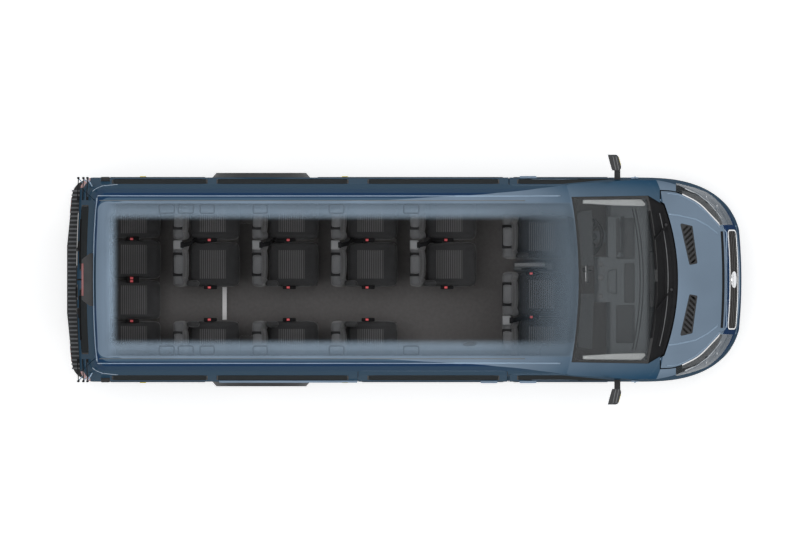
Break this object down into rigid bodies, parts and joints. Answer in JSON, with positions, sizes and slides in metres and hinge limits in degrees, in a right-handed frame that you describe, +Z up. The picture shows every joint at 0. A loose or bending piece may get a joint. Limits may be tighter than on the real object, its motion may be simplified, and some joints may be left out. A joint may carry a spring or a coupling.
{
  "type": "minibus",
  "caption": "Long high-roof minibus with a bonnet, large side windows, a sliding side door, double rear doors, twin rear wheels and rows of passenger seats.",
  "frame": {"origin": "on the ground, at the centre of the vehicle's length and width", "axes": "+X forward, +Y to the vehicle's left, +Z up"},
  "size_m": [6.7038, 2.484, 2.7672],
  "materials": {
    "blue_paint": "gloss",
    "roof_paint": "gloss",
    "tinted_glass": "clear",
    "screen_glass": "clear",
    "black_trim": "satin",
    "grille_plastic": "satin",
    "lamp_glass": "clear",
    "red_lens": "gloss",
    "amber_lens": "gloss",
    "tyre_rubber": "matt",
    "wheel_silver": "satin",
    "chassis_black": "satin",
    "axle_iron": "matt",
    "engine_iron": "matt",
    "exhaust_steel": "satin",
    "tank_plastic": "matt",
    "floor_covering": "matt",
    "strip_white": "satin",
    "dash_plastic": "matt",
    "steering_leather": "satin",
    "seat_fabric": "matt",
    "seat_frame_steel": "satin",
    "liner_plastic": "matt"
  },
  "bodies": {
    "vehicle_body": {"side_left": "blue_paint", "side_right": "blue_paint", "roof": "roof_paint", "windscreen": "screen_glass", "cowl": "black_trim", "side_windows": "tinted_glass", "tail_lamps": "red_lens", "front_bumper": "blue_paint", "front_panel": "blue_paint", "grille": "grille_plastic", "headlamps": "lamp_glass", "wing_left": "blue_paint", "wing_right": "blue_paint", "slide_door": "blue_paint", "slide_door_window": "tinted_glass", "rear_bumper": "black_trim", "rear_arches": "black_trim", "side_markers": "amber_lens", "underframe": "chassis_black", "front_subframe": "chassis_black", "wheel_liners": "liner_plastic", "rear_axle": "axle_iron", "driveline": "axle_iron", "engine": "engine_iron", "exhaust": "exhaust_steel", "fuel_tank": "tank_plastic", "floor": "floor_covering", "rear_floor": "floor_covering", "wheel_boxes": "floor_covering", "entrance_step": "floor_covering", "step_strip": "strip_white", "dashboard": "dash_plastic", "front_seats": "seat_fabric", "passenger_seats": "seat_fabric", "seat_frames": "seat_frame_steel"},
    "left_front_door": {"front_door_left": "blue_paint", "front_door_left_window": "tinted_glass", "mirror_left": "blue_paint"},
    "right_front_door": {"front_door_right": "blue_paint", "front_door_right_window": "tinted_glass", "mirror_right": "blue_paint"},
    "left_rear_door": {"rear_door_left": "blue_paint", "rear_door_left_window": "tinted_glass"},
    "right_rear_door": {"rear_door_right": "blue_paint", "rear_door_right_window": "tinted_glass"},
    "bonnet_panel": {"bonnet": "blue_paint", "bonnet_vents": "black_trim"},
    "left_steering_knuckle": {"knuckle_left": "axle_iron"},
    "right_steering_knuckle": {"knuckle_right": "axle_iron"},
    "left_front_wheel": {"rim_front_left": "wheel_silver", "tyre_front_left": "tyre_rubber"},
    "right_front_wheel": {"rim_front_right": "wheel_silver", "tyre_front_right": "tyre_rubber"},
    "left_rear_wheels": {"rim_rear_left": "wheel_silver", "tyre_rear_left": "tyre_rubber"},
    "right_rear_wheels": {"rim_rear_right": "wheel_silver", "tyre_rear_right": "tyre_rubber"},
    "steering_hand_wheel": {"steering_wheel": "steering_leather"}
  },
  "joints": [
    {"name": "left_front_door_hinge", "type": "hinge", "parent": "vehicle_body", "child": "left_front_door", "pos_m": [2.294, 1.018, 1], "axis": [0, 0, -1], "range_deg": [0, 70]},
    {"name": "right_front_door_hinge", "type": "hinge", "parent": "vehicle_body", "child": "right_front_door", "pos_m": [2.294, -1.018, 1], "axis": [0, 0, 1], "range_deg": [0, 70]},
    {"name": "left_rear_door_hinge", "type": "hinge", "parent": "vehicle_body", "child": "left_rear_door", "pos_m": [-3.222, 1.01, 1], "axis": [-0.0807, 0, -0.9967], "range_deg": [0, 180]},
    {"name": "right_rear_door_hinge", "type": "hinge", "parent": "vehicle_body", "child": "right_rear_door", "pos_m": [-3.222, -1.01, 1], "axis": [0.0807, 0, 0.9967], "range_deg": [0, 180]},
    {"name": "bonnet_hinge", "type": "hinge", "parent": "vehicle_body", "child": "bonnet_panel", "pos_m": [2.546, 0, 1.262], "axis": [0, -1, 0], "range_deg": [0, 50]},
    {"name": "left_steering", "type": "hinge", "parent": "vehicle_body", "child": "left_steering_knuckle", "pos_m": [2.329, 0.752, 0.349], "axis": [0, -0.1908, 0.9816], "range_deg": [-35, 35]},
    {"name": "right_steering", "type": "hinge", "parent": "vehicle_body", "child": "right_steering_knuckle", "pos_m": [2.329, -0.752, 0.349], "axis": [0, 0.1908, 0.9816], "range_deg": [-35, 35]},
    {"name": "left_front_wheel_spin", "type": "hinge", "parent": "left_steering_knuckle", "child": "left_front_wheel", "pos_m": [2.329, 0.866, 0.349], "axis": [0, 1, 0], "continuous": true},
    {"name": "right_front_wheel_spin", "type": "hinge", "parent": "right_steering_knuckle", "child": "right_front_wheel", "pos_m": [2.329, -0.866, 0.349], "axis": [0, 1, 0], "continuous": true},
    {"name": "left_rear_wheels_spin", "type": "hinge", "parent": "vehicle_body", "child": "left_rear_wheels", "pos_m": [-1.421, 0.827, 0.349], "axis": [0, 1, 0], "continuous": true},
    {"name": "right_rear_wheels_spin", "type": "hinge", "parent": "vehicle_body", "child": "right_rear_wheels", "pos_m": [-1.421, -0.827, 0.349], "axis": [0, 1, 0], "continuous": true},
    {"name": "steering_wheel_turn", "type": "hinge", "parent": "vehicle_body", "child": "steering_hand_wheel", "pos_m": [1.8, 0.427, 1.28], "axis": [-0.5, 0, 0.866], "range_deg": [-490, 490]}
  ],
  "couplings": [
    {"joint": "right_steering", "follows": "left_steering", "ratio": 1},
    {"joint": "steering_wheel_turn", "follows": "left_steering", "ratio": 14}
  ]
}
